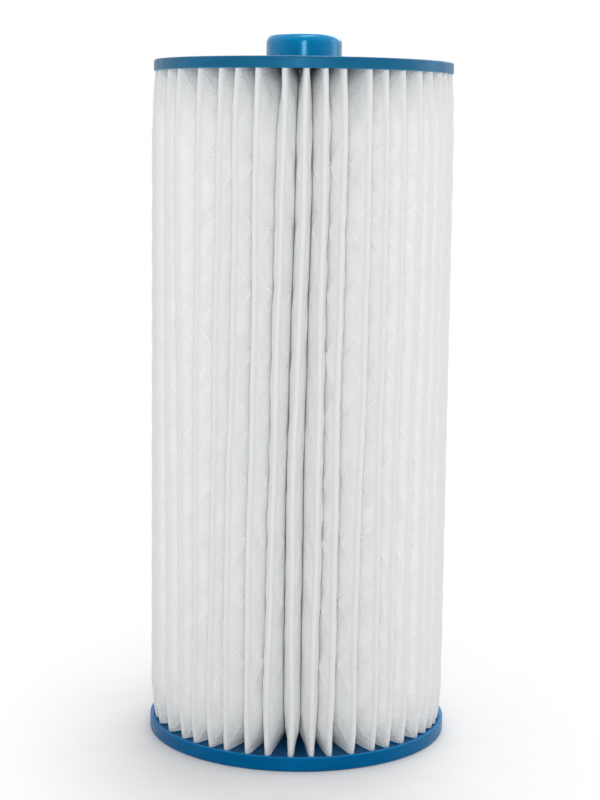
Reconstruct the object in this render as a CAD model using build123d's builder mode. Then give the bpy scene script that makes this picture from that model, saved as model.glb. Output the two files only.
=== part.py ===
"""Pleated filter cartridge for a spa or pool, closed at the top and open at the bottom.

The origin is on the floor under the cartridge's axis, and +Z points up through the knob.
All sizes are in millimetres.
"""

import os
from math import asin, atan2, cos, hypot, pi, sin

from build123d import *

os.makedirs("parts", exist_ok=True)

# ---- Driving dimensions --------------------------------------------------------------

# Outside sizes
BOTTOM_CAP_DIAMETER = 152.0
TOP_CAP_DIAMETER = 148.5
BODY_HEIGHT = 340.0
BOTTOM_CAP_HEIGHT = 7.0
TOP_CAP_HEIGHT = 5.5

# Bottom cap and top cap
RIM_WIDTH = 1.2
RIM_STEP = 0.8
RIM_SLOPE = 1.4
CAP_EDGE_RADIUS = 0.6

# Knob
KNOB_DIAMETER = 37.6
KNOB_HEIGHT = 13.2
KNOB_TOP_RADIUS = 4.6
KNOB_NECK_DIAMETER = 28.0
KNOB_FLANGE_DIAMETER = 46.0
KNOB_FLANGE_THICKNESS = 1.4
KNOB_FLANGE_DEPTH = 3.2
KNOB_SHANK_DIAMETER = 12.0
KNOB_SHANK_LENGTH = 12.0

# Outlet bore in the bottom collar
BORE_DIAMETER = 54.0
COLLAR_HEIGHT = 13.0
COLLAR_FLANGE_DIAMETER = 72.0
COLLAR_FLANGE_THICKNESS = 1.4
COLLAR_FLANGE_LEVEL = 0.9
BORE_CHAMFER = 1.0

# Lattice core
CORE_OUTER_DIAMETER = 62.0
CORE_INNER_DIAMETER = 56.0
CORE_SECTION_COUNT = 5
CORE_RIB_COUNT = 12
CORE_WINDOW_ROWS = 4
CORE_WINDOW_WIDTH = 11.5
CORE_HOOP_HEIGHT = 3.0

# Spigot and socket joints along the core
SPIGOT_DIAMETER = 59.0
SPIGOT_LENGTH = 5.0
JOINT_CLEARANCE = 0.1

# Plug that closes the core
PLUG_DISC_THICKNESS = 2.5
PLUG_BOSS_DIAMETER = 18.0
PLUG_BOSS_HEIGHT = 11.0
PLUG_TO_FLANGE_GAP = 0.8

# Pleated sheet
PLEAT_COUNT = 44
SHEET_THICKNESS = 0.9
PLEAT_TIP_DIAMETER = 147.0
PLEAT_VALLEY_DIAMETER = 65.0
TIP_FOLD_RADIUS = 1.8
VALLEY_FOLD_RADIUS = 0.8
SHEET_BOTTOM = 2.5
SHEET_TOP = 337.6

# Bead that joins the two ends of the sheet
BEAD_WIDTH = 2.2
BEAD_DEPTH = 6.0
BEAD_INNER_RADIUS = 36.0
BEAD_CLEARANCE = 0.3

# ---- Sizes worked out from them ------------------------------------------------------

BOTTOM_CAP_RADIUS = BOTTOM_CAP_DIAMETER / 2
TOP_CAP_RADIUS = TOP_CAP_DIAMETER / 2
TOP_CAP_UNDERSIDE = BODY_HEIGHT - TOP_CAP_HEIGHT
KNOB_FLANGE_BOTTOM = BODY_HEIGHT - KNOB_FLANGE_DEPTH
PLUG_TOP = KNOB_FLANGE_BOTTOM - PLUG_TO_FLANGE_GAP
PLUG_SHOULDER = PLUG_TOP - PLUG_DISC_THICKNESS - SPIGOT_LENGTH - JOINT_CLEARANCE
CORE_SECTION_HEIGHT = (PLUG_SHOULDER - COLLAR_HEIGHT) / CORE_SECTION_COUNT
SOCKET_DIAMETER = SPIGOT_DIAMETER + 2 * JOINT_CLEARANCE
SOCKET_DEPTH = SPIGOT_LENGTH + JOINT_CLEARANCE
PLEAT_ANGLE = 2 * pi / PLEAT_COUNT
HALF_SHEET = SHEET_THICKNESS / 2
POTTING_TOP = BOTTOM_CAP_HEIGHT - RIM_STEP
POTTING_UNDERSIDE = TOP_CAP_UNDERSIDE + RIM_STEP


def on_circle(radius, angle):
    """A point at this radius and angle, in radians, from the cartridge's axis."""
    return (radius * cos(angle), radius * sin(angle))


def finish(part, name):
    """Label a finished piece and write it to its own file."""
    part.label = name
    export_step(part, f"parts/{name}.step")


# ---- Pleated sheet -------------------------------------------------------------------


def tip_centre_radius():
    """Distance from the axis to the centre of each outer fold."""
    return PLEAT_TIP_DIAMETER / 2 - HALF_SHEET - TIP_FOLD_RADIUS


def valley_centre_radius():
    """Distance from the axis to the centre of each inner fold."""
    return PLEAT_VALLEY_DIAMETER / 2 + HALF_SHEET + VALLEY_FOLD_RADIUS


def flank(tip_angle, side, offset):
    """The two ends of a straight flank: at its outer fold, and at its inner fold.

    The flank touches both folds and crosses between their centres, so every surface
    parallel to the sheet has flanks in the same direction.
    """
    tip_x, tip_y = on_circle(tip_centre_radius(), tip_angle)
    valley_x, valley_y = on_circle(valley_centre_radius(), tip_angle + side * PLEAT_ANGLE / 2)
    distance = hypot(valley_x - tip_x, valley_y - tip_y)
    heading = atan2(valley_y - tip_y, valley_x - tip_x)
    lean = asin((TIP_FOLD_RADIUS + VALLEY_FOLD_RADIUS) / distance)
    across = heading - side * (pi / 2 - lean)
    tip_dx, tip_dy = on_circle(TIP_FOLD_RADIUS + offset, across)
    valley_dx, valley_dy = on_circle(VALLEY_FOLD_RADIUS - offset, across)
    return (tip_x + tip_dx, tip_y + tip_dy), (valley_x - valley_dx, valley_y - valley_dy)


def pleat_surface(offset):
    """Draw one closed line round all the pleats, this far outside the sheet's middle."""
    crest_radius = tip_centre_radius() + TIP_FOLD_RADIUS + offset
    trough_radius = valley_centre_radius() - VALLEY_FOLD_RADIUS + offset
    for pleat in range(PLEAT_COUNT):
        tip_angle = pleat * PLEAT_ANGLE
        near_tip, near_valley = flank(tip_angle, -1, offset)
        far_tip, far_valley = flank(tip_angle, 1, offset)
        next_valley = flank(tip_angle + PLEAT_ANGLE, -1, offset)[1]
        Line(near_valley, near_tip)
        ThreePointArc(near_tip, on_circle(crest_radius, tip_angle), far_tip)
        Line(far_tip, far_valley)
        ThreePointArc(far_valley, on_circle(trough_radius, tip_angle + PLEAT_ANGLE / 2), next_valley)


with BuildPart() as pleated_media:
    with BuildSketch(Plane.XY.offset(SHEET_BOTTOM)):
        with BuildLine():
            pleat_surface(HALF_SHEET)
        make_face()
        with BuildLine():
            pleat_surface(-HALF_SHEET)
        make_face(mode=Mode.SUBTRACT)
    extrude(amount=SHEET_TOP - SHEET_BOTTOM)

finish(pleated_media.part, "pleated_media")

# The sheet's two ends meet inside the pleat at the back, where a bead of adhesive joins them.
with BuildPart() as media_seam_bead:
    with BuildSketch(Plane.XY.offset(POTTING_TOP + BEAD_CLEARANCE)):
        with Locations((0, BEAD_INNER_RADIUS + BEAD_DEPTH / 2)):
            SlotOverall(BEAD_DEPTH, BEAD_WIDTH, rotation=90)
    extrude(amount=POTTING_UNDERSIDE - POTTING_TOP - 2 * BEAD_CLEARANCE)

finish(media_seam_bead.part, "media_seam_bead")

# ---- Lattice core --------------------------------------------------------------------


def core_section(base):
    """One lattice tube: a socket at its foot, windows up its wall, a spigot at its head."""
    top = base + CORE_SECTION_HEIGHT
    lattice_bottom = base + SOCKET_DEPTH + CORE_HOOP_HEIGHT
    lattice_height = top - CORE_HOOP_HEIGHT - lattice_bottom
    row_pitch = (lattice_height + CORE_HOOP_HEIGHT) / CORE_WINDOW_ROWS
    window_height = row_pitch - CORE_HOOP_HEIGHT

    with BuildPart() as window:
        with BuildSketch(Plane.YZ.offset(CORE_INNER_DIAMETER / 2 - CORE_HOOP_HEIGHT)):
            Rectangle(CORE_WINDOW_WIDTH, window_height)
        extrude(amount=CORE_OUTER_DIAMETER - CORE_INNER_DIAMETER + CORE_HOOP_HEIGHT)

    with BuildPart() as section:
        with BuildSketch(Plane.XY.offset(base)):
            Circle(CORE_OUTER_DIAMETER / 2)
        extrude(amount=CORE_SECTION_HEIGHT)
        with BuildSketch(Plane.XY.offset(top)):
            Circle(SPIGOT_DIAMETER / 2)
        extrude(amount=SPIGOT_LENGTH)
        with BuildSketch(Plane.XY.offset(base)):
            Circle(CORE_INNER_DIAMETER / 2)
        extrude(amount=CORE_SECTION_HEIGHT + SPIGOT_LENGTH, mode=Mode.SUBTRACT)
        with BuildSketch(Plane.XY.offset(base)):
            Circle(SOCKET_DIAMETER / 2)
        extrude(amount=SOCKET_DEPTH, mode=Mode.SUBTRACT)
        for row in range(CORE_WINDOW_ROWS):
            height = lattice_bottom + row * row_pitch + window_height / 2
            with Locations((0, 0, height)):
                with PolarLocations(0, CORE_RIB_COUNT):
                    add(window.part, mode=Mode.SUBTRACT)
    return section.part


for section_number in range(CORE_SECTION_COUNT):
    finish(
        core_section(COLLAR_HEIGHT + section_number * CORE_SECTION_HEIGHT),
        f"core_section_{section_number + 1}",
    )

# The plug sits over the last section's spigot and holds the knob's shank on centre.
with BuildPart() as core_top_plug:
    with BuildSketch(Plane.XY.offset(PLUG_SHOULDER)):
        Circle(CORE_OUTER_DIAMETER / 2)
    extrude(amount=PLUG_TOP - PLUG_SHOULDER)
    with BuildSketch(Plane.XY.offset(PLUG_SHOULDER)):
        Circle(SOCKET_DIAMETER / 2)
    extrude(amount=SOCKET_DEPTH, mode=Mode.SUBTRACT)
    with BuildSketch(Plane.XY.offset(PLUG_TOP)):
        Circle(PLUG_BOSS_DIAMETER / 2)
    extrude(amount=-PLUG_DISC_THICKNESS - PLUG_BOSS_HEIGHT)
    with BuildSketch(Plane.XY.offset(PLUG_TOP)):
        Circle(KNOB_SHANK_DIAMETER / 2 + JOINT_CLEARANCE)
    extrude(amount=-KNOB_SHANK_LENGTH + PLUG_TO_FLANGE_GAP - JOINT_CLEARANCE, mode=Mode.SUBTRACT)

finish(core_top_plug.part, "core_top_plug")

# The collar lines the outlet bore and carries the core on its own spigot.
with BuildPart() as bottom_collar:
    with BuildSketch(Plane.XY):
        Circle(CORE_OUTER_DIAMETER / 2)
    extrude(amount=COLLAR_HEIGHT)
    with BuildSketch(Plane.XY.offset(COLLAR_FLANGE_LEVEL)):
        Circle(COLLAR_FLANGE_DIAMETER / 2)
    extrude(amount=COLLAR_FLANGE_THICKNESS)
    with BuildSketch(Plane.XY.offset(COLLAR_HEIGHT)):
        Circle(SPIGOT_DIAMETER / 2)
    extrude(amount=SPIGOT_LENGTH)
    with BuildSketch(Plane.XY):
        Circle(BORE_DIAMETER / 2)
    extrude(amount=COLLAR_HEIGHT + SPIGOT_LENGTH, mode=Mode.SUBTRACT)
    foot_edges = bottom_collar.edges().filter_by(GeomType.CIRCLE).group_by(Axis.Z)[0]
    chamfer(foot_edges.sort_by(SortBy.RADIUS)[0], BORE_CHAMFER)

finish(bottom_collar.part, "bottom_collar")

# ---- Knob and end caps ---------------------------------------------------------------

with BuildPart() as top_knob:
    with BuildSketch(Plane.XY.offset(BODY_HEIGHT)):
        Circle(KNOB_DIAMETER / 2)
    extrude(amount=KNOB_HEIGHT)
    fillet(top_knob.edges().sort_by(Axis.Z)[-1], KNOB_TOP_RADIUS)
    with BuildSketch(Plane.XY.offset(BODY_HEIGHT)):
        Circle(KNOB_NECK_DIAMETER / 2)
    extrude(amount=-KNOB_FLANGE_DEPTH)
    with BuildSketch(Plane.XY.offset(KNOB_FLANGE_BOTTOM)):
        Circle(KNOB_FLANGE_DIAMETER / 2)
    extrude(amount=KNOB_FLANGE_THICKNESS)
    with BuildSketch(Plane.XY.offset(KNOB_FLANGE_BOTTOM)):
        Circle(KNOB_SHANK_DIAMETER / 2)
    extrude(amount=-KNOB_SHANK_LENGTH)

finish(top_knob.part, "top_knob")

# Each cap is cast round the sheet's end, so it is solid between the pleats.
with BuildPart() as bottom_end_cap:
    with BuildSketch(Plane.XZ):
        with BuildLine():
            Polyline(
                (0, 0),
                (BOTTOM_CAP_RADIUS, 0),
                (BOTTOM_CAP_RADIUS, BOTTOM_CAP_HEIGHT),
                (BOTTOM_CAP_RADIUS - RIM_WIDTH, BOTTOM_CAP_HEIGHT),
                (BOTTOM_CAP_RADIUS - RIM_WIDTH - RIM_SLOPE, POTTING_TOP),
                (0, POTTING_TOP),
                close=True,
            )
        make_face()
    revolve(axis=Axis.Z)
    outer_edges = bottom_end_cap.edges().filter_by(GeomType.CIRCLE).group_by(SortBy.RADIUS)[-1]
    fillet(outer_edges, CAP_EDGE_RADIUS)
    add(bottom_collar.part, mode=Mode.SUBTRACT)
    with BuildSketch(Plane.XY):
        Circle(BORE_DIAMETER / 2 + BORE_CHAMFER)
    extrude(amount=BOTTOM_CAP_HEIGHT, mode=Mode.SUBTRACT)
    add(pleated_media.part, mode=Mode.SUBTRACT)

finish(bottom_end_cap.part, "bottom_end_cap")

with BuildPart() as top_end_cap:
    with BuildSketch(Plane.XZ):
        with BuildLine():
            Polyline(
                (0, BODY_HEIGHT),
                (TOP_CAP_RADIUS, BODY_HEIGHT),
                (TOP_CAP_RADIUS, TOP_CAP_UNDERSIDE),
                (TOP_CAP_RADIUS - RIM_WIDTH, TOP_CAP_UNDERSIDE),
                (TOP_CAP_RADIUS - RIM_WIDTH - RIM_SLOPE, POTTING_UNDERSIDE),
                (0, POTTING_UNDERSIDE),
                close=True,
            )
        make_face()
    revolve(axis=Axis.Z)
    outer_edges = top_end_cap.edges().filter_by(GeomType.CIRCLE).group_by(SortBy.RADIUS)[-1]
    fillet(outer_edges, CAP_EDGE_RADIUS)
    add(top_knob.part, mode=Mode.SUBTRACT)
    add(core_top_plug.part, mode=Mode.SUBTRACT)
    add(pleated_media.part, mode=Mode.SUBTRACT)

finish(top_end_cap.part, "top_end_cap")
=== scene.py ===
import math

import bpy
import numpy as np
from mathutils import Matrix, Vector


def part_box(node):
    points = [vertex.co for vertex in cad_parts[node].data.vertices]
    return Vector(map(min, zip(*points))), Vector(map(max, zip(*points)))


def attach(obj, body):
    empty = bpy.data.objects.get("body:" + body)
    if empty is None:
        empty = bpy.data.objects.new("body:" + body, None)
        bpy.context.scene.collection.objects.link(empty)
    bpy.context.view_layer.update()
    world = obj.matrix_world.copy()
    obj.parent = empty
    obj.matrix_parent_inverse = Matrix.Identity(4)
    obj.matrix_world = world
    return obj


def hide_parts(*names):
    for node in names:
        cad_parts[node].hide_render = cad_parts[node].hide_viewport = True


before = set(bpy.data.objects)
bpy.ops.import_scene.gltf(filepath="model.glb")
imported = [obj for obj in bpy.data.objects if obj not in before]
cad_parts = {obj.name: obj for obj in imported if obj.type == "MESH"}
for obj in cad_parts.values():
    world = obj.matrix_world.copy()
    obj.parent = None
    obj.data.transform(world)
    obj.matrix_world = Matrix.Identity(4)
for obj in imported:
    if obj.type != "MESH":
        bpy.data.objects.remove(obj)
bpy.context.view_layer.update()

# ---- Places and sizes, in metres, from the frame -------------------------------------

MM = 0.001
BODY = "root"

bottom_cap_low, bottom_cap_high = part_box("bottom_end_cap")
top_cap_low, top_cap_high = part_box("top_end_cap")
sheet_low, sheet_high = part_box("pleated_media")
_, core_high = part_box("core_section_1")

BOTTOM_CAP_RADIUS = bottom_cap_high.x
BOTTOM_CAP_TOP = bottom_cap_high.z
TOP_CAP_RADIUS = top_cap_high.x
TOP_CAP_UNDERSIDE = top_cap_low.z
BODY_HEIGHT = top_cap_high.z
CORE_RADIUS = core_high.x
SHEET_BOTTOM = sheet_low.z
SHEET_TOP = sheet_high.z
SHEET_WIDTH = SHEET_TOP - SHEET_BOTTOM
CORE_SECTIONS = [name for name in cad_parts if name.startswith("core_section_")]

# ---- Pleats ---------------------------------------------------------------------------

# Angles of the pleats' outer folds from the front, in degrees, growing to the right. The
# pack is folded by machine but potted by hand, so its spacing is uneven, and the foot of
# the pack is turned a little against its head.
HEAD_TIPS = (-74, -62, -54, -42, -32, -25, -17, -7, 1, 8, 15, 25, 32, 40, 49, 56, 64, 70, 77)
FOOT_TIPS = (-71, -60, -50, -43, -35, -28, -19, -11, -2, 6, 13, 22, 31, 38, 46, 55, 62, 69, 75)
BACK_TIP = 180
PLEATS_PER_BACK_QUARTER = 12
BACK_JITTER = 0.9

# The pleat nearest the middle is slimmer than the others, and bows to the left
SLIM_PLEAT = 8
SLIM_FULLNESS = 0.7
SLIM_BOW = math.radians(-1.1)

# The outer folds, and how the pleats swell between the caps that pinch their ends
CREST_RADIUS = sheet_high.x + 1.7 * MM
PINCHED_CREST_RADIUS = sheet_high.x + 0.1 * MM
VALLEY_RADIUS = 33.2 * MM
OPEN_NOSE = np.array([1.45, 1.8]) * MM
PINCHED_NOSE = np.array([1.55, 3.1]) * MM
ROOT_HALF = 1.45 * MM
FLANK_SPREAD = 0.28
FULLNESS = (0.88, 1.12)
QUILT = 0.08
NEIGHBOUR_GAP = 0.04 * MM
GAP_CHANGE = 0.04 * MM
GAP_SHIFT = 0.1
CONTACT_SOFTNESS = 0.3 * MM
VALLEY_FOLD = 1.3 * MM
HEAD_PINCH = 38 * MM
FOOT_PINCH = 22 * MM
PINCH_POWER = 2.2
LONG_WAVE = 210 * MM
SHORT_WAVE = 83 * MM
LONG_SWAY = math.radians(0.28)
SHORT_SWAY = math.radians(0.12)
REACH_SPREAD = 0.2 * MM
CREST_WOBBLE = 0.14 * MM
WRINKLE = 0.13 * MM
WRINKLE_WAVES = 4
WRINKLE_HEIGHTS = (12 * MM, 40 * MM)
WRINKLE_DEPTHS = (8 * MM, 30 * MM)
WRINKLE_START = (1.5 * MM, 5 * MM)

# The zigzag line embossed along both sides of every outer fold
EMBOSS_PERIOD = 30.1 * MM
EMBOSS_DEPTH = 13.5 * MM
EMBOSS_FIRST = 17.3 * MM
CREASE_RISE = 0.1 * MM
CREASE_HALF_WIDTH = 0.55 * MM
CREASE_NEAREST = 4.4 * MM
CREASE_FADE = 7 * MM

# The mesh: its rows, and where its columns lie along a flank, in millimetres or as shares
SHEET_ROWS = 150
ROW_CROWDING = 0.25
NOSE_COLUMNS = (0.0, 0.6, 1.2, 1.9, 2.6, 3.2)
NEAR_COLUMNS = (0.25, 0.5, 0.75)
CREASE_COLUMNS = (-0.9, -0.3, 0.3, 0.9)
CONTACT_COLUMNS = (0.2, 0.4, 0.6, 0.8, 1.0)
CONTACT_DEPTH = 23 * MM
DEEP_COLUMNS = (0.45, 0.9, 0.95, 0.98, 1.0)

SEED = 11


def mix(low, high, share):
    """The value this share of the way from low to high."""
    return low + (high - low) * share


def smooth(edge_low, edge_high, value):
    """0 below the first edge, 1 above the second, and a smooth turn between them."""
    t = np.clip((value - edge_low) / (edge_high - edge_low), 0, 1)
    return t * t * (3 - 2 * t)


def soft_minimum(first, second, softness):
    """The lesser of two values, with a rounded turn where they meet."""
    return -softness * np.logaddexp(-first / softness, -second / softness)


def turned(angle):
    """The same angle, between minus and plus half a turn."""
    return np.mod(angle + math.pi, 2 * math.pi) - math.pi


def tip_angles(front, jitter):
    """Angles of all the outer folds, in radians, once round from the left of the front."""
    steps = PLEATS_PER_BACK_QUARTER + 1
    right = np.linspace(front[-1], BACK_TIP, steps + 1)[1:-1]
    left = np.linspace(BACK_TIP, front[0] + 360, steps + 1)[1:-1]
    right = right + jitter[:PLEATS_PER_BACK_QUARTER]
    left = left + jitter[PLEATS_PER_BACK_QUARTER:]
    return np.radians(np.concatenate([front, right, [BACK_TIP], left]))


def emboss_phase(height):
    """Periods of the zigzag down from its first corner: whole numbers are inner corners."""
    return (SHEET_TOP - height - EMBOSS_FIRST) / EMBOSS_PERIOD


def crease_distance(height):
    """How far in from the outer fold the embossed zigzag runs, at this height."""
    phase = emboss_phase(height)
    return EMBOSS_DEPTH * (1 - 2 * np.abs(phase - np.round(phase)))


class Pack:
    """The shape of the folded sheet, as a function of pleat, height and distance along it."""

    def __init__(self):
        rng = np.random.default_rng(SEED)
        jitter = rng.uniform(-BACK_JITTER, BACK_JITTER, 2 * PLEATS_PER_BACK_QUARTER)
        self.head = tip_angles(HEAD_TIPS, jitter)
        self.foot = tip_angles(FOOT_TIPS, jitter)
        self.count = len(self.head)
        self.sway = rng.uniform(0, 2 * math.pi, (self.count, 3))
        self.fullness = rng.uniform(*FULLNESS, (self.count, 3))
        self.fullness[SLIM_PLEAT] = SLIM_FULLNESS
        self.bow = np.zeros(self.count)
        self.bow[SLIM_PLEAT] = SLIM_BOW
        self.reach = rng.normal(0, REACH_SPREAD, self.count)
        shape = (self.count, 2, WRINKLE_WAVES)
        self.wave_height = rng.uniform(*WRINKLE_HEIGHTS, shape)
        self.wave_depth = rng.uniform(*WRINKLE_DEPTHS, shape) * rng.choice((-1, 1), shape)
        self.wave_start = rng.uniform(0, 2 * math.pi, shape)

    def open(self, height):
        """0 where the caps pinch the pleats, 1 where they stand open."""
        head = np.clip((TOP_CAP_UNDERSIDE - height) / HEAD_PINCH, 0, 1)
        foot = np.clip((height - BOTTOM_CAP_TOP) / FOOT_PINCH, 0, 1)
        return (1 - (1 - head) ** PINCH_POWER) * (1 - (1 - foot) ** PINCH_POWER)

    def angle(self, pleat, height):
        """Angle of a pleat's middle plane at this height."""
        pleat = np.mod(pleat, self.count)
        share = smooth(SHEET_BOTTOM, SHEET_TOP, height)
        straight = mix(self.foot[pleat], self.head[pleat], share)
        straight = straight + self.bow[pleat] * np.sin(math.pi * share)
        sway = self.sway[pleat]
        long_wave = LONG_SWAY * np.sin(2 * math.pi * height / LONG_WAVE + sway[..., 0])
        short_wave = SHORT_SWAY * np.sin(2 * math.pi * height / SHORT_WAVE + sway[..., 1])
        return straight + (long_wave + short_wave) * self.open(height)

    def half_gap(self, pleat, side, height):
        """Half the angle between a pleat and its neighbour on this side."""
        here = self.angle(pleat, height)
        there = self.angle(pleat + side, height)
        return np.abs(turned(there - here)) / 2

    def nose(self, height):
        """Half the width of the rounded outer fold, its length, and the sheet in half of it."""
        half, length = mix(PINCHED_NOSE[:, None], OPEN_NOSE[:, None], self.open(height))
        return half, length, math.pi / 2 * np.sqrt((half**2 + length**2) / 2)

    def crest(self, pleat, height):
        """Distance from the axis to the top of the outer fold."""
        wobble = CREST_WOBBLE * np.sin(2 * math.pi * height / self.wave_height[pleat, 0, 0])
        open_radius = CREST_RADIUS + self.reach[pleat] + wobble
        return mix(PINCHED_CREST_RADIUS, open_radius, self.open(height))

    def wrinkle(self, pleat, side, height, along):
        """Small uneven swellings of a flank, from a few waves at odd angles."""
        flank = (side + 1) // 2
        total = 0
        for wave in range(WRINKLE_WAVES):
            turns = height / self.wave_height[pleat, flank, wave]
            turns = turns + along / self.wave_depth[pleat, flank, wave]
            total = total + np.sin(2 * math.pi * turns + self.wave_start[pleat, flank, wave])
        return WRINKLE * total * smooth(*WRINKLE_START, along) * self.open(height)

    def point(self, pleat, side, height, along):
        """Radius and sideways distance of the sheet, this far along from the outer fold."""
        opened = self.open(height)
        nose_half, nose_length, nose_sheet = self.nose(height)
        crest = self.crest(pleat, height)
        full = crest - VALLEY_RADIUS
        turn = np.clip(along / nose_sheet, 0, 1) * math.pi / 2
        past = np.maximum(along - nose_sheet, 0)
        depth = nose_length * (1 - np.cos(turn)) + past
        quilt = np.cos(2 * math.pi * emboss_phase(height))
        swell = self.fullness[pleat, 1 + side] * (1 - QUILT * quilt)
        taper = (ROOT_HALF - nose_half) * past / (full - nose_length)
        half = nose_half * np.sin(turn) + mix(taper, FLANK_SPREAD * swell * past, opened)
        half = half + self.wrinkle(pleat, side, height, along)
        radius = crest - depth
        room = radius * np.tan(self.half_gap(pleat, side, height))
        gap_turns = emboss_phase(height) + GAP_SHIFT * self.sway[pleat, 2]
        limit = room - NEIGHBOUR_GAP - GAP_CHANGE * np.cos(2 * math.pi * gap_turns)
        half = np.maximum(soft_minimum(half, limit, CONTACT_SOFTNESS), 0)
        into_fold = np.clip((depth - full + VALLEY_FOLD) / VALLEY_FOLD, 0, 1)
        return radius, room - (room - half) * np.sqrt(1 - into_fold**2)

    def flank_length(self, pleat, height):
        """Length along the sheet from the outer fold's crest to the valley."""
        _, nose_length, nose_sheet = self.nose(height)
        return self.crest(pleat, height) - VALLEY_RADIUS - nose_length + nose_sheet


def place(radius, half, angle):
    """Turn a pleat's radius and sideways distance into x and y."""
    x = radius * np.sin(angle) + half * np.cos(angle)
    y = half * np.sin(angle) - radius * np.cos(angle)
    return x, y


def row_heights():
    """Heights of the mesh rows, closer together near the caps."""
    t = np.linspace(-1, 1, SHEET_ROWS)
    eased = mix(t, np.sin(math.pi / 2 * t), ROW_CROWDING)
    return SHEET_BOTTOM + SHEET_WIDTH * (eased + 1) / 2


def mesh_object(name, points, faces, smooth_shading=True):
    """Make an object from a list of points and faces, in the shared frame."""
    mesh = bpy.data.meshes.new(name)
    mesh.from_pydata([tuple(p) for p in points], [], [tuple(f) for f in faces])
    mesh.update()
    if smooth_shading:
        mesh.polygons.foreach_set("use_smooth", [True] * len(mesh.polygons))
    piece = bpy.data.objects.new(name, mesh)
    bpy.context.scene.collection.objects.link(piece)
    return piece


def point_values(piece, name, values):
    """Give every point of a mesh a number that its material can read."""
    attribute = piece.data.attributes.new(name, "FLOAT", "POINT")
    attribute.data.foreach_set("value", values.astype(np.float32))


def grid_faces(columns, rows, closed_rows=False):
    """Faces of a grid stored column by column and closed round its columns."""
    faces = []
    last_row = rows if closed_rows else rows - 1
    for column in range(columns):
        here = column * rows
        there = (column + 1) % columns * rows
        for row in range(last_row):
            above = (row + 1) % rows
            faces.append((here + row, there + row, there + above, here + above))
    return faces


def flank_columns(pack, pleat, side, height):
    """Points of one flank, column by column from the outer fold to the valley."""
    angle = pack.angle(pleat, height)
    length = pack.flank_length(pleat, height)
    drawn = crease_distance(height)
    crease = np.maximum(drawn, CREASE_NEAREST)
    crease_rise = CREASE_RISE * smooth(CREASE_NEAREST, CREASE_FADE, drawn) * pack.open(height)
    distances = [np.full_like(height, c * MM) for c in NOSE_COLUMNS]
    crease_edges = [crease + c * MM for c in CREASE_COLUMNS]
    distances += [mix(distances[-1], crease_edges[0], share) for share in NEAR_COLUMNS]
    distances += crease_edges
    distances += [mix(crease_edges[-1], CONTACT_DEPTH, share) for share in CONTACT_COLUMNS]
    distances += [mix(CONTACT_DEPTH, length, share) for share in DEEP_COLUMNS]
    columns = []
    for along in distances:
        radius, half = pack.point(pleat, side, height, along)
        ridge = crease_rise * np.exp(-(((along - crease) / CREASE_HALF_WIDTH) ** 2))
        x, y = place(radius, side * (half + ridge), angle)
        columns.append((x, y, height, along))
    return columns


def pleated_sheet(pack):
    """The whole folded sheet as one closed band round the core."""
    height = row_heights()
    columns = []
    for pleat in range(pack.count):
        columns += flank_columns(pack, pleat, -1, height)[:0:-1]
        columns += flank_columns(pack, pleat, 1, height)[:-1]
    points = np.array(columns).transpose(0, 2, 1).reshape(-1, 4)
    sheet = mesh_object("pleated_sheet", points[:, :3], grid_faces(len(columns), len(height)))
    point_values(sheet, "from_fold", points[:, 3])
    return sheet


# ---- End caps, cast round the pleats' ends ---------------------------------------------

CAP_COLUMNS = 1232
COLLAR_SEAM_RADIUS = CORE_RADIUS + 0.05 * MM
KNOB_SEAM_RADIUS = 13.9 * MM
OUTSIDE_EDGE_RADIUS = 1.0 * MM
LIP_EDGE_RADIUS = 0.45 * MM
EDGE_STEPS = 5
LIP_WIDTH = 1.45 * MM
LIP_SLOPE = 0.55 * MM
LIP_HEIGHT = 1.1 * MM
LIP_WANDER = 0.32 * MM
MENISCUS_HEIGHT = 0.85 * MM
MENISCUS_REACH = 0.65 * MM
MENISCUS_ON_LIP = 0.1
WANDER_WAVES = (7, 13, 22, 31, 44, 59, 83)
WANDER_STRENGTH = (0.4, 1)
WANDER_END = (0.1, 0.25)

# The mesh: shares of the way across the flat face, up the rim, and in over the potting
FACE_SHARES = (0.2, 0.4, 0.6, 0.8, 0.95)
RIM_SHARES = (0.3, 0.7)
POTTING_ROWS = 46
POTTING_CROWDING = 1.6


def wander(angle, seed):
    """A smooth uneven line round the circle, between about -1 and 1."""
    rng = np.random.default_rng(seed)
    total = np.zeros_like(angle)
    for wave in WANDER_WAVES:
        strength = rng.uniform(*WANDER_STRENGTH)
        total += strength * np.sin(wave * angle + rng.uniform(0, 2 * math.pi))
    return total / math.sqrt(len(WANDER_WAVES))


def clearance_to_pleats(pack, height, radius, angle):
    """Distance from points at this height to the nearest pleat's surface."""
    nearest = np.full(radius.shape, np.inf)
    x = radius * np.sin(angle)
    y = -radius * np.cos(angle)
    nose_half, nose_length, _ = (float(size[0]) for size in pack.nose(np.array([height])))
    for pleat in range(pack.count):
        middle = pack.angle(pleat, height)
        forward = x * np.sin(middle) - y * np.cos(middle)
        sideways = np.abs(x * np.cos(middle) + y * np.sin(middle))
        nose_start = pack.crest(pleat, height) - nose_length
        ahead = np.hypot((forward - nose_start) * nose_half / nose_length, sideways) - nose_half
        taper = (ROOT_HALF - nose_half) * (nose_start - forward) / (nose_start - VALLEY_RADIUS)
        beside = sideways - nose_half - taper
        distance = np.where(forward > nose_start, ahead, beside)
        distance = np.where(forward > VALLEY_RADIUS, distance, np.inf)
        nearest = np.minimum(nearest, distance)
    return nearest


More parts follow.
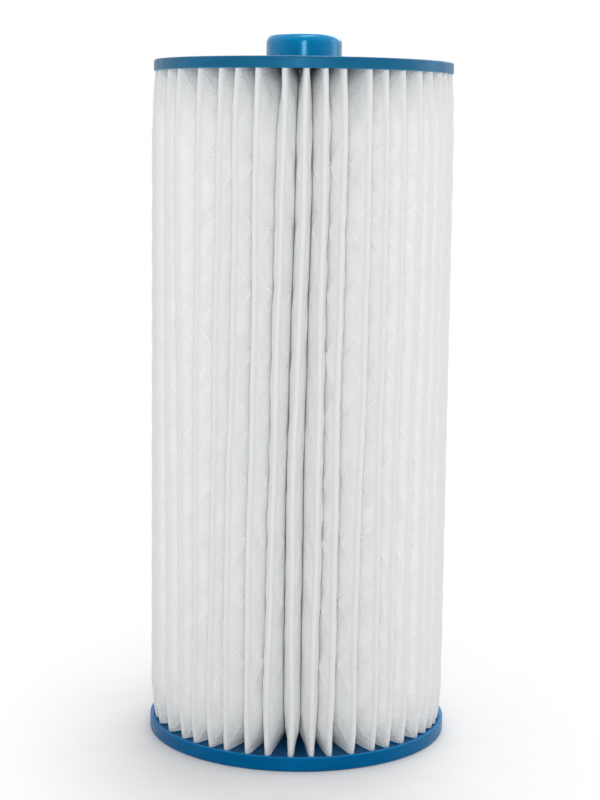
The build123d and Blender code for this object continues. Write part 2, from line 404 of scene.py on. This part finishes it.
def cast_cap(name, pack, outer, inner, outside_level, rim_level, seed):
    """A disc of resin: flat outside, with a lip and a meniscus round every pleat inside.

    outside_level is the height of its flat face, rim_level that of its lip on the pleats'
    side. Each ring also says how much it is potting, lip or flat outside face.
    """
    up = 1 if rim_level > outside_level else -1
    angle = np.linspace(0, 2 * math.pi, CAP_COLUMNS, endpoint=False)
    rim_wander = LIP_WANDER * wander(angle, seed)
    lip_outer = outer - LIP_EDGE_RADIUS
    rows = []

    def ring(radius, height, potting=0, lip=0, outside=0):
        sizes = (radius, height, potting, lip, outside)
        rows.append([np.broadcast_to(size, angle.shape) for size in sizes])

    ring(inner, outside_level + up * OUTSIDE_EDGE_RADIUS)
    for turn in np.linspace(0, math.pi / 2, EDGE_STEPS)[1:]:
        out = OUTSIDE_EDGE_RADIUS * (1 - np.cos(turn))
        ring(inner + out, outside_level + up * OUTSIDE_EDGE_RADIUS * (1 - np.sin(turn)))
    flat_outer = outer - OUTSIDE_EDGE_RADIUS
    for share in FACE_SHARES:
        ring(mix(inner + OUTSIDE_EDGE_RADIUS, flat_outer, share), outside_level, outside=1)
    for turn in np.linspace(0, math.pi / 2, EDGE_STEPS):
        out = flat_outer + OUTSIDE_EDGE_RADIUS * np.sin(turn)
        ring(out, outside_level + up * OUTSIDE_EDGE_RADIUS * (1 - np.cos(turn)))
    for share in RIM_SHARES:
        ring(outer, mix(outside_level, rim_level, share))
    for turn in np.linspace(0, math.pi / 2, EDGE_STEPS):
        out = lip_outer + LIP_EDGE_RADIUS * np.cos(turn)
        ring(out, rim_level - up * LIP_EDGE_RADIUS * (1 - np.sin(turn)), lip=np.sin(turn))

    potting_level = rim_level - up * LIP_HEIGHT
    sweep = np.linspace(0, 1, POTTING_ROWS) ** POTTING_CROWDING
    for share in sweep[1:]:
        radius = mix(lip_outer, inner, share) + rim_wander * (1 - smooth(*WANDER_END, share))
        gap = clearance_to_pleats(pack, rim_level, radius, angle)
        meniscus = MENISCUS_HEIGHT * np.exp(-np.maximum(gap, 0) / MENISCUS_REACH)
        lip_inner = lip_outer - LIP_WIDTH + rim_wander
        lip = LIP_HEIGHT * smooth(lip_inner - LIP_SLOPE, lip_inner, radius)
        rise = np.maximum(lip, meniscus) + MENISCUS_ON_LIP * np.minimum(lip, meniscus)
        ring(radius, potting_level + up * rise, 1 - lip / LIP_HEIGHT, lip / LIP_HEIGHT)

    grid = np.array(rows)
    x = grid[:, 0] * np.sin(angle)
    y = -grid[:, 0] * np.cos(angle)
    points = np.stack([x, y, *grid[:, 1:].swapaxes(0, 1)], axis=-1)
    points = points.transpose(1, 0, 2).reshape(-1, points.shape[-1])
    faces = grid_faces(CAP_COLUMNS, len(rows), closed_rows=True)
    if up < 0:
        faces = [face[::-1] for face in faces]
    cap = mesh_object(name, points[:, :3], faces)
    for column, part in enumerate(("potting", "lip", "outside"), start=3):
        point_values(cap, part, points[:, column])
    return cap


# ---- Materials ------------------------------------------------------------------------


class Graph:
    """Adds nodes to a new material and links them to its Principled shader."""

    def __init__(self, name):
        self.material = bpy.data.materials.new(name)
        self.material.use_nodes = True
        self.tree = self.material.node_tree
        self.shader = self.tree.nodes["Principled BSDF"]
        self.place = self.node("ShaderNodeTexCoord").outputs["Object"]

    def attribute(self, name):
        """The number that point_values gave the mesh, or 0 where it gave none."""
        return self.node("ShaderNodeAttribute", attribute_name=name).outputs["Fac"]

    def node(self, kind, **settings):
        """Add a node to the tree, with its settings."""
        node = self.tree.nodes.new(kind)
        for key, value in settings.items():
            setattr(node, key, value)
        return node

    def feed(self, socket, value):
        """Link an output to a socket, or set a plain value on it."""
        if isinstance(value, bpy.types.NodeSocket):
            self.tree.links.new(value, socket)
        else:
            socket.default_value = value

    def math(self, operation, *values):
        """The result of a Math node on these values or outputs."""
        node = self.node("ShaderNodeMath", operation=operation)
        for socket, value in zip(node.inputs, values):
            self.feed(socket, value)
        return node.outputs[0]

    def sum_of(self, first, second, shares):
        """So much of one value and so much of another."""
        return self.math("MULTIPLY_ADD", first, shares[0], self.math("MULTIPLY", second, shares[1]))

    def wave(self, value, period):
        """A cosine wave, with its crest where the value is 0."""
        turn = self.math("MULTIPLY", value, 2 * math.pi / period)
        return self.math("COSINE", turn)

    def fade(self, value, low, high, from_value=0.0, to_value=1.0):
        """A smooth turn of one value into another range."""
        node = self.node("ShaderNodeMapRange", interpolation_type="SMOOTHSTEP")
        for socket, number in zip(node.inputs, (value, low, high, from_value, to_value)):
            self.feed(socket, number)
        return node.outputs[0]

    def stretched(self, scale):
        """The object's own coordinates, stretched along its axes."""
        node = self.node("ShaderNodeMapping")
        self.feed(node.inputs["Vector"], self.place)
        node.inputs["Scale"].default_value = scale
        return node.outputs[0]

    def noise(self, scale, detail=3.0, roughness=0.5, vector=None):
        """Fractal noise, with scale in lumps a metre."""
        node = self.node("ShaderNodeTexNoise")
        self.feed(node.inputs["Vector"], vector or self.place)
        node.inputs["Scale"].default_value = scale
        node.inputs["Detail"].default_value = detail
        node.inputs["Roughness"].default_value = roughness
        return node.outputs["Fac"]

    def cells(self, scale):
        """Distance to the nearest of many scattered points, with scale in points a metre."""
        node = self.node("ShaderNodeTexVoronoi", feature="F1")
        self.feed(node.inputs["Vector"], self.place)
        node.inputs["Scale"].default_value = scale
        return node.outputs["Distance"]

    def blend(self, share, low, high):
        """A colour between two others."""
        node = self.node("ShaderNodeMix", data_type="RGBA")
        self.feed(node.inputs["Factor"], share)
        for name, color in (("A", low), ("B", high)):
            socket = next(s for s in node.inputs if s.name == name and s.type == "RGBA")
            self.feed(socket, color if isinstance(color, bpy.types.NodeSocket) else (*color, 1))
        return next(s for s in node.outputs if s.type == "RGBA")

    def bump(self, height, distance, strength=1.0, normal=None):
        """A normal tilted by a height map, with distance as the depth of its relief."""
        node = self.node("ShaderNodeBump")
        self.feed(node.inputs["Height"], height)
        node.inputs["Distance"].default_value = distance
        node.inputs["Strength"].default_value = strength
        if normal:
            self.feed(node.inputs["Normal"], normal)
        return node.outputs["Normal"]

    def set(self, **values):
        """Set or link the shader's sockets by name, with _ for a space."""
        for name, value in values.items():
            self.feed(self.shader.inputs[name.replace("_", " ")], value)


MEDIA_SHADE = (0.85, 0.86, 0.865)
MEDIA_LIGHT = (0.925, 0.93, 0.925)
# Painted shade on the outer folds, which damps the light they catch
MEDIA_CREST_PAINTED_SHADE = (0.79, 0.795, 0.795)
# Painted shade along the zigzag's arms, round its beads and beside its creases
MEDIA_ARM_PAINTED_SHADE = (0.87, 0.875, 0.87)
# Painted highlight on the zigzag's beads and creases
MEDIA_MARK_PAINTED_HIGHLIGHT = (1.0, 1.0, 0.995)

# Marks of the zigzag: beads on its upper arms and plain creases on its lower ones. The
# whole phases added keep the phase above 0 over the full height.
PHASES_ADDED = 100
NOSE_END = (2.6 * MM, 4.0 * MM)
CREST_END = (4.5 * MM, 1.0 * MM)
BEAD_PITCH = 1.6 * MM
BEAD_ROWS = 1.9 * MM
BEAD_EDGE = (-0.5, 0.6)
ARM_REACH = 0.85 * MM
CORNER_REACH = 2.85 * MM
REACH_PHASES = (0.16, 0.04)
CREASE_EDGE = (0.65 * MM, 0.1 * MM)
BESIDE_CREASE = (1.6 * MM, 0.5 * MM)
# How strong the painted shade is beside the creases and along the arms
BESIDE_CREASE_SHADE_SHARE = 0.5
ARM_PAINTED_SHADE_SHARE = 0.7

# Where the sheet is crumpled: round the inner corners and next to the caps
CORNER_PHASES = (0.2, 0.02)
CORNER_OFFSETS = (5.0 * MM, 0.5 * MM)
CORNER_CRUMPLE = 0.35
CRUMPLED_END = 26 * MM
HEAD_CRUMPLE = 0.5


def media_material():
    """White spunbond polyester: matted fibres, with the zigzag of welded spacing beads."""
    graph = Graph("media_polyester")
    split = graph.node("ShaderNodeSeparateXYZ")
    graph.feed(split.inputs[0], graph.place)
    height = split.outputs["Z"]
    from_fold = graph.attribute("from_fold")

    top_phase = (SHEET_TOP - EMBOSS_FIRST) / EMBOSS_PERIOD + PHASES_ADDED
    phase = graph.math("SUBTRACT", top_phase, graph.math("DIVIDE", height, EMBOSS_PERIOD))
    to_corner = graph.math("PINGPONG", phase, 0.5)
    crease = graph.math("MULTIPLY_ADD", to_corner, -2 * EMBOSS_DEPTH, EMBOSS_DEPTH)
    signed_offset = graph.math("SUBTRACT", from_fold, crease)
    offset = graph.math("ABSOLUTE", signed_offset)
    upper_arm = graph.math("GREATER_THAN", graph.math("FRACT", phase), 0.5)
    lower_arm = graph.math("SUBTRACT", 1.0, upper_arm)

    past_nose = graph.fade(from_fold, *NOSE_END)
    along_wave = graph.wave(height, BEAD_PITCH)
    across_wave = graph.wave(signed_offset, BEAD_ROWS)
    dots = graph.fade(graph.math("ADD", along_wave, across_wave), *BEAD_EDGE)
    reach = graph.fade(to_corner, *REACH_PHASES, ARM_REACH, CORNER_REACH)
    on_arm = graph.math("MULTIPLY", graph.math("LESS_THAN", offset, reach), upper_arm)
    on_arm = graph.math("MULTIPLY", on_arm, past_nose)
    bead = graph.math("MULTIPLY", dots, on_arm)
    line = graph.math("MULTIPLY", graph.fade(offset, *CREASE_EDGE), lower_arm)
    line = graph.math("MULTIPLY", line, past_nose)
    beside_line = graph.math("MULTIPLY", graph.fade(offset, *BESIDE_CREASE), lower_arm)
    beside_line = graph.math("MULTIPLY", beside_line, BESIDE_CREASE_SHADE_SHARE)
    # Where the painted shade along the arms falls, beside the beads and creases
    arm_painted_shade = graph.math("MULTIPLY", graph.math("MAXIMUM", on_arm, beside_line), past_nose)
    near_corner = graph.math(
        "MULTIPLY",
        graph.fade(to_corner, *CORNER_PHASES),
        graph.fade(offset, *CORNER_OFFSETS),
    )
    foot = BOTTOM_CAP_TOP
    head = TOP_CAP_UNDERSIDE
    near_foot = graph.fade(height, foot + CRUMPLED_END, foot)
    near_head = graph.fade(height, head - CRUMPLED_END, head, to_value=HEAD_CRUMPLE)
    near_ends = graph.math("ADD", near_foot, near_head)
    crumpled = graph.math("MULTIPLY_ADD", near_corner, CORNER_CRUMPLE, near_ends)

    upright = graph.stretched((1.0, 1.0, 0.35))
    level = graph.stretched((1.0, 1.0, 1.8))
    fibres = graph.noise(scale=1500, detail=5.0, roughness=0.65)
    drawn = graph.noise(scale=420, detail=4.0, roughness=0.6, vector=upright)
    clouds = graph.noise(scale=120, detail=3.0, roughness=0.55)
    wrinkles = graph.noise(scale=330, detail=2.0, roughness=0.5, vector=level)

    tone = graph.sum_of(fibres, clouds, shares=(0.5, 0.5))
    color = graph.blend(graph.fade(tone, low=0.3, high=0.7), MEDIA_SHADE, MEDIA_LIGHT)
    marks = graph.math("MAXIMUM", bead, line)
    # Painted shade: the outer folds are painted darker, to damp the light they catch
    color = graph.blend(graph.fade(from_fold, *CREST_END), color, MEDIA_CREST_PAINTED_SHADE)
    # Painted shade along the zigzag's arms, as the relief's shading
    color = graph.blend(graph.math("MULTIPLY", arm_painted_shade, ARM_PAINTED_SHADE_SHARE), color, MEDIA_ARM_PAINTED_SHADE)
    # Painted highlight: the beads and creases are painted lighter, as their relief catching the
    # light
    color = graph.blend(marks, color, MEDIA_MARK_PAINTED_HIGHLIGHT)

    relief = graph.sum_of(drawn, fibres, shares=(0.35, 0.2))
    normal = graph.bump(relief, distance=0.45 * MM, strength=0.9)
    creases = graph.math("MULTIPLY", wrinkles, crumpled)
    normal = graph.bump(creases, distance=0.95 * MM, strength=0.9, normal=normal)
    normal = graph.bump(marks, distance=0.17 * MM, normal=normal)
    graph.set(Base_Color=color, Normal=normal, Roughness=0.72, Specular_IOR_Level=0.25)
    graph.set(Sheen_Weight=0.12, Sheen_Roughness=0.6)
    return graph.material


# How the parts of a casting differ in brightness and in roughness: painted shade on the potting
# between the pleats, a painted highlight on the lip, and a rougher flat outside face; and the skin
# of it all
POTTING_PAINTED_SHADE = 0.75
LIP_PAINTED_HIGHLIGHT = 1.45
OUTSIDE_DULLNESS = 0.4
SKIN_POLISH = 0.05
SKIN_RUB = 0.09
SPECKLE_DEPTH = 1.4
COAT_ROUGHNESS = 0.14


def blue_material(name, deep, light, shine, tint, roughness, peel, pits, coat):
    """Blue plastic: faint flow marks, a satin skin, and a few pinholes where it was cast.

    A cast piece is painted darker on the potting between the pleats, as painted shade, paler
    on its thin lip, as a painted highlight, and rougher on its flat outside face. peel and pits are
    depths in metres.
    """
    graph = Graph(name)
    level = graph.stretched((1.0, 1.0, 3.0))
    flow = graph.noise(scale=45, detail=4.0, roughness=0.6, vector=level)
    speckle = graph.noise(scale=1300, detail=3.0, roughness=0.6)
    tone = graph.sum_of(flow, speckle, shares=(0.7, 0.3))
    color = graph.blend(graph.fade(tone, low=0.35, high=0.65), deep, light)
    # Painted shade: the potting between the pleats is painted darker, where shade falls among them
    painted_potting_shade = tuple(POTTING_PAINTED_SHADE * channel for channel in deep)
    color = graph.blend(graph.attribute("potting"), color, painted_potting_shade)
    # Painted highlight: the thin lip is painted paler, as its top edge catching the light
    painted_lip_highlight = tuple(LIP_PAINTED_HIGHLIGHT * channel for channel in light)
    color = graph.blend(graph.attribute("lip"), color, painted_lip_highlight)
    rub = graph.noise(scale=160, detail=5.0, roughness=0.7)
    polished = roughness - SKIN_POLISH
    rubbed = roughness + SKIN_RUB
    skin = graph.fade(rub, low=0.35, high=0.75, from_value=polished, to_value=rubbed)
    outside = graph.attribute("outside")
    skin = graph.math("MULTIPLY_ADD", outside, OUTSIDE_DULLNESS, skin)
    orange_peel = graph.noise(scale=420, detail=3.0, roughness=0.55)
    normal = graph.bump(orange_peel, distance=peel)
    if pits:
        holes = graph.fade(graph.cells(scale=260), low=0.0, high=0.16)
        normal = graph.bump(holes, distance=pits, strength=0.7, normal=normal)
        normal = graph.bump(speckle, distance=SPECKLE_DEPTH * pits, strength=0.9, normal=normal)
    graph.set(Base_Color=color, Roughness=skin, Normal=normal)
    graph.set(Specular_IOR_Level=shine, Specular_Tint=(*tint, 1))
    graph.set(Coat_Weight=coat, Coat_Roughness=COAT_ROUGHNESS)
    return graph.material


MOULD_VARIATION = 0.06


def moulded_material(name, deep, light, roughness):
    """Plain moulded plastic with faint flow lines and a fine spark-eroded grain."""
    graph = Graph(name)
    upright = graph.stretched((1.0, 1.0, 0.4))
    flow = graph.noise(scale=60, detail=3.0, roughness=0.5, vector=upright)
    color = graph.blend(graph.fade(flow, low=0.3, high=0.7), deep, light)
    smoother = roughness - MOULD_VARIATION
    rougher = roughness + MOULD_VARIATION
    skin = graph.fade(flow, low=0.2, high=0.8, from_value=smoother, to_value=rougher)
    grain = graph.noise(scale=1800, detail=2.0, roughness=0.5)
    graph.set(Base_Color=color, Roughness=skin, Normal=graph.bump(grain, distance=0.08 * MM))
    return graph.material


# ---- Build the object ------------------------------------------------------------------

pack = Pack()
sheet = pleated_sheet(pack)
sheet.data.materials.append(media_material())
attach(sheet, BODY)
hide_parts("pleated_media")

foot_blue = blue_material(
    "foot_urethane",
    deep=(0.0001, 0.105, 0.27),
    light=(0.0002, 0.125, 0.315),
    shine=0.22,
    tint=(0.05, 0.4, 1.0),
    roughness=0.36,
    peel=0.05 * MM,
    pits=0.05 * MM,
    coat=0,
)
# Painted light: the head is cast of the same urethane as the foot, but this copy's colours are
# painted darker and greyer and its shine set higher, to match how the light falls on the top cap
head_blue = blue_material(
    "head_urethane",
    deep=(0.003, 0.102, 0.203),
    light=(0.007, 0.122, 0.24),
    shine=0.7,
    tint=(0.15, 0.5, 1.0),
    roughness=0.4,
    peel=0.07 * MM,
    pits=0.06 * MM,
    coat=0,
)
for cap_name, node, material, outer, inner, outside_level, rim_level, seed in (
    ("bottom_cap_casting", "bottom_end_cap", foot_blue, BOTTOM_CAP_RADIUS, COLLAR_SEAM_RADIUS,
     bottom_cap_low.z, BOTTOM_CAP_TOP, 3),
    ("top_cap_casting", "top_end_cap", head_blue, TOP_CAP_RADIUS, KNOB_SEAM_RADIUS,
     BODY_HEIGHT, TOP_CAP_UNDERSIDE, 4),
):
    cap = cast_cap(cap_name, pack, outer, inner, outside_level, rim_level, seed)
    cap.data.materials.append(material)
    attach(cap, BODY)
    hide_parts(node)

knob_blue = blue_material(
    "knob_plastic",
    deep=(0.0001, 0.242, 0.51),
    light=(0.0002, 0.262, 0.555),
    shine=0.6,
    tint=(0.12, 0.7, 1.0),
    roughness=0.2,
    peel=0.02 * MM,
    pits=0,
    coat=0.25,
)
core_white = moulded_material(
    "core_plastic",
    deep=(0.74, 0.75, 0.74),
    light=(0.82, 0.83, 0.81),
    roughness=0.42,
)
glue = moulded_material(
    "seam_adhesive",
    deep=(0.72, 0.66, 0.5),
    light=(0.82, 0.78, 0.64),
    roughness=0.35,
)
carried_over = {"top_knob": knob_blue, "media_seam_bead": glue}
for node in ("bottom_collar", "core_top_plug", *CORE_SECTIONS):
    carried_over[node] = core_white
for node, material in carried_over.items():
    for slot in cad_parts[node].material_slots:
        slot.material = material

# ---- Camera, light and floor -------------------------------------------------------------

CAMERA_PLACE = (0, -0.9293, 0.3058)
CAMERA_PITCH_DOWN = 0.1448
CAMERA_ROLL = 0.0119
CAMERA_LENS = 82.93
CAMERA_SENSOR = 36
CAMERA_NEAREST = 0.01

# Brightness of the studio in front of the object and behind it, for light on surfaces and
# for reflections, and how far along Y the directions lie between which it changes
FRONT_LEVEL = 0.29
BACK_LEVEL = 0.66
FRONT_REFLECTED = 0.14
BACK_REFLECTED = 0.85
DARK_END = -0.95
LIT_END = -0.1

FLOOR_HALF = 6.0
FLOOR_SHADE = (0.84, 0.84, 0.84)
FLOOR_LIGHT = (0.86, 0.86, 0.86)
FLOOR_NARROWING = (1.7, 1.0, 1.0)
FLOOR_FADE = (0.1, 0.28)

MIDDLE = (0, 0, 0.17)
KNOB_SIDE = (0, 0, 0.36)
DIFFUSE_BOUNCES = 8


def make_camera():
    """The photograph's viewpoint: a little under the top cap, looking down at the foot."""
    data = bpy.data.cameras.new("camera")
    data.lens = CAMERA_LENS
    data.sensor_width = CAMERA_SENSOR
    data.clip_start = CAMERA_NEAREST
    camera = bpy.data.objects.new("camera", data)
    bpy.context.scene.collection.objects.link(camera)
    camera.location = CAMERA_PLACE
    pitch = Matrix.Rotation(math.pi / 2 - CAMERA_PITCH_DOWN, 3, "X")
    turn = pitch @ Matrix.Rotation(CAMERA_ROLL, 3, "Z")
    camera.rotation_euler = turn.to_euler("XYZ")
    bpy.context.scene.camera = camera


def soft_light(name, place, aim, size, power):
    """A rectangular soft box that faces a point."""
    data = bpy.data.lights.new(name, "AREA")
    data.shape = "RECTANGLE"
    data.size, data.size_y = size
    data.energy = power
    light = bpy.data.objects.new(name, data)
    bpy.context.scene.collection.objects.link(light)
    light.location = place
    light.rotation_euler = (Vector(aim) - Vector(place)).to_track_quat("-Z", "Y").to_euler()


def make_world():
    """A white cyclorama that is darker in front of the object, where the studio isn't lit."""
    world = bpy.data.worlds.new("studio")
    bpy.context.scene.world = world
    world.use_nodes = True
    tree = world.node_tree
    direction = tree.nodes.new("ShaderNodeTexCoord").outputs["Generated"]
    split = tree.nodes.new("ShaderNodeSeparateXYZ")
    tree.links.new(direction, split.inputs[0])
    dim = tree.nodes.new("ShaderNodeMapRange")
    dim.interpolation_type = "SMOOTHSTEP"
    tree.links.new(split.outputs["Y"], dim.inputs["Value"])
    rays = tree.nodes.new("ShaderNodeLightPath")
    dim.inputs["From Min"].default_value = DARK_END
    dim.inputs["From Max"].default_value = LIT_END
    for name, level, mirrored in (
        ("To Min", FRONT_LEVEL, FRONT_REFLECTED),
        ("To Max", BACK_LEVEL, BACK_REFLECTED),
    ):
        choice = tree.nodes.new("ShaderNodeMath")
        choice.operation = "MULTIPLY_ADD"
        tree.links.new(rays.outputs["Is Glossy Ray"], choice.inputs[0])
        choice.inputs[1].default_value = mirrored - level
        choice.inputs[2].default_value = level
        tree.links.new(choice.outputs[0], dim.inputs[name])
    strength = tree.nodes.new("ShaderNodeMath")
    strength.operation = "MAXIMUM"
    tree.links.new(dim.outputs[0], strength.inputs[0])
    tree.links.new(rays.outputs["Is Camera Ray"], strength.inputs[1])
    background = tree.nodes["Background"]
    tree.links.new(strength.outputs[0], background.inputs["Strength"])
    background.inputs["Color"].default_value = (1, 1, 1, 1)


def make_floor():
    """A white table top that fades into the white background."""
    signs = ((-1, -1), (1, -1), (1, 1), (-1, 1))
    corners = [(FLOOR_HALF * x, FLOOR_HALF * y, 0) for x, y in signs]
    floor = mesh_object("floor", corners, [(0, 1, 2, 3)], smooth_shading=False)
    graph = Graph("floor")
    length = graph.node("ShaderNodeVectorMath", operation="LENGTH")
    graph.feed(length.inputs[0], graph.stretched(FLOOR_NARROWING))
    far = graph.fade(length.outputs["Value"], *FLOOR_FADE)
    grain = graph.fade(graph.noise(scale=40, detail=2.0), low=0.3, high=0.7)
    graph.set(Base_Color=graph.blend(grain, FLOOR_SHADE, FLOOR_LIGHT))
    graph.set(Roughness=0.6, Specular_IOR_Level=0.2)
    glow = graph.node("ShaderNodeEmission")
    mixer = graph.node("ShaderNodeMixShader")
    graph.feed(mixer.inputs[0], far)
    graph.feed(mixer.inputs[1], graph.shader.outputs[0])
    graph.feed(mixer.inputs[2], glow.outputs[0])
    graph.feed(graph.tree.nodes["Material Output"].inputs["Surface"], mixer.outputs[0])
    floor.data.materials.append(graph.material)


make_camera()
make_world()
make_floor()
soft_light("back_box", place=(0.35, 1.3, 1.1), aim=MIDDLE, size=(1.4, 0.9), power=10)
soft_light("top_box", place=(0.1, -0.1, 1.6), aim=MIDDLE, size=(0.8, 0.45), power=4.5)
soft_light("strip", place=(0, -1.3, 0.52), aim=KNOB_SIDE, size=(0.26, 0.7), power=5.0)
soft_light("side_box", place=(1.1, 0.3, 0.45), aim=MIDDLE, size=(0.5, 0.9), power=1.6)
bpy.context.scene.view_settings.view_transform = "Standard"
bpy.context.scene.cycles.diffuse_bounces = DIFFUSE_BOUNCES
